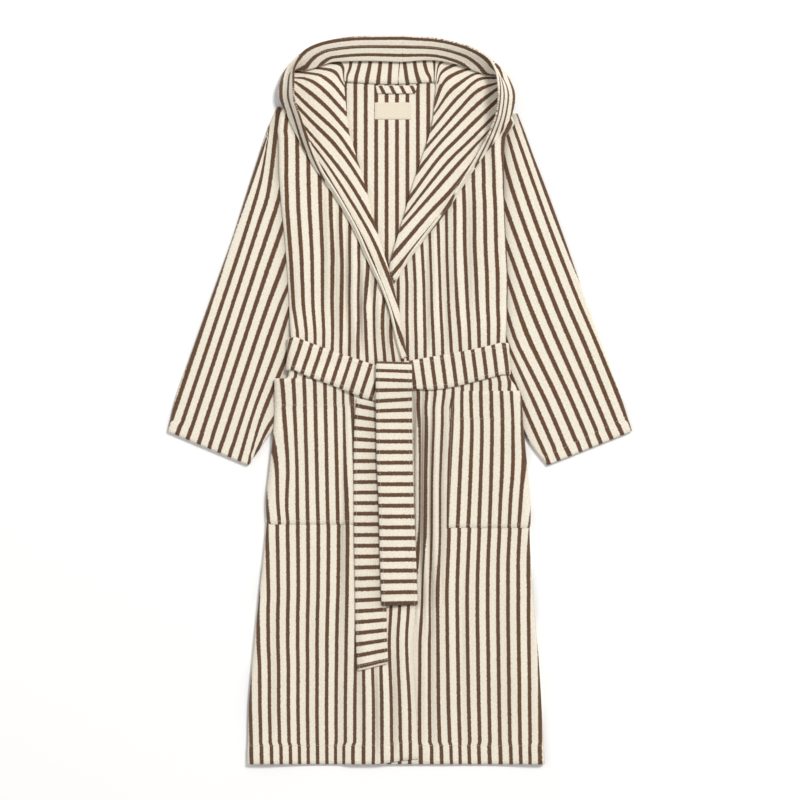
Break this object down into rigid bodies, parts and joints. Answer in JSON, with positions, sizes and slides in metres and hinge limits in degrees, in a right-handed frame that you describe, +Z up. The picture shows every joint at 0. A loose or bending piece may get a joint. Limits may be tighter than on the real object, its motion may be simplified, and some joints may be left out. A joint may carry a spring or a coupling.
{
  "type": "hooded bathrobe laid flat",
  "caption": "Long hooded bathrobe in striped terry, laid flat on its back with sleeves out, fronts lapped, patch pockets and its belt tied.",
  "frame": {"origin": "middle of the laid robe on the surface it lies on", "axes": "+Z up from the surface, +Y from the hem to the hood, +X to the right of someone looking down at the robe with its hood away from them"},
  "size_m": [0.8108, 1.271, 0.0649],
  "materials": {
    "striped_terry": "looped terry, cream with narrow brown stripes",
    "label_weave": "fine plain weave"
  },
  "bodies": {
    "root": {"back": "striped_terry", "front_left": "striped_terry", "front_right": "striped_terry", "pocket_left": "striped_terry", "pocket_right": "striped_terry", "sleeve_left": "striped_terry", "sleeve_right": "striped_terry", "hood_left": "striped_terry", "hood_right": "striped_terry", "belt_arm_left": "striped_terry", "belt_arm_right": "striped_terry", "belt_behind": "striped_terry", "belt_end_front": "striped_terry", "belt_end_back": "striped_terry", "hanging_loop": "striped_terry", "label": "label_weave"}
  },
  "joints": []
}
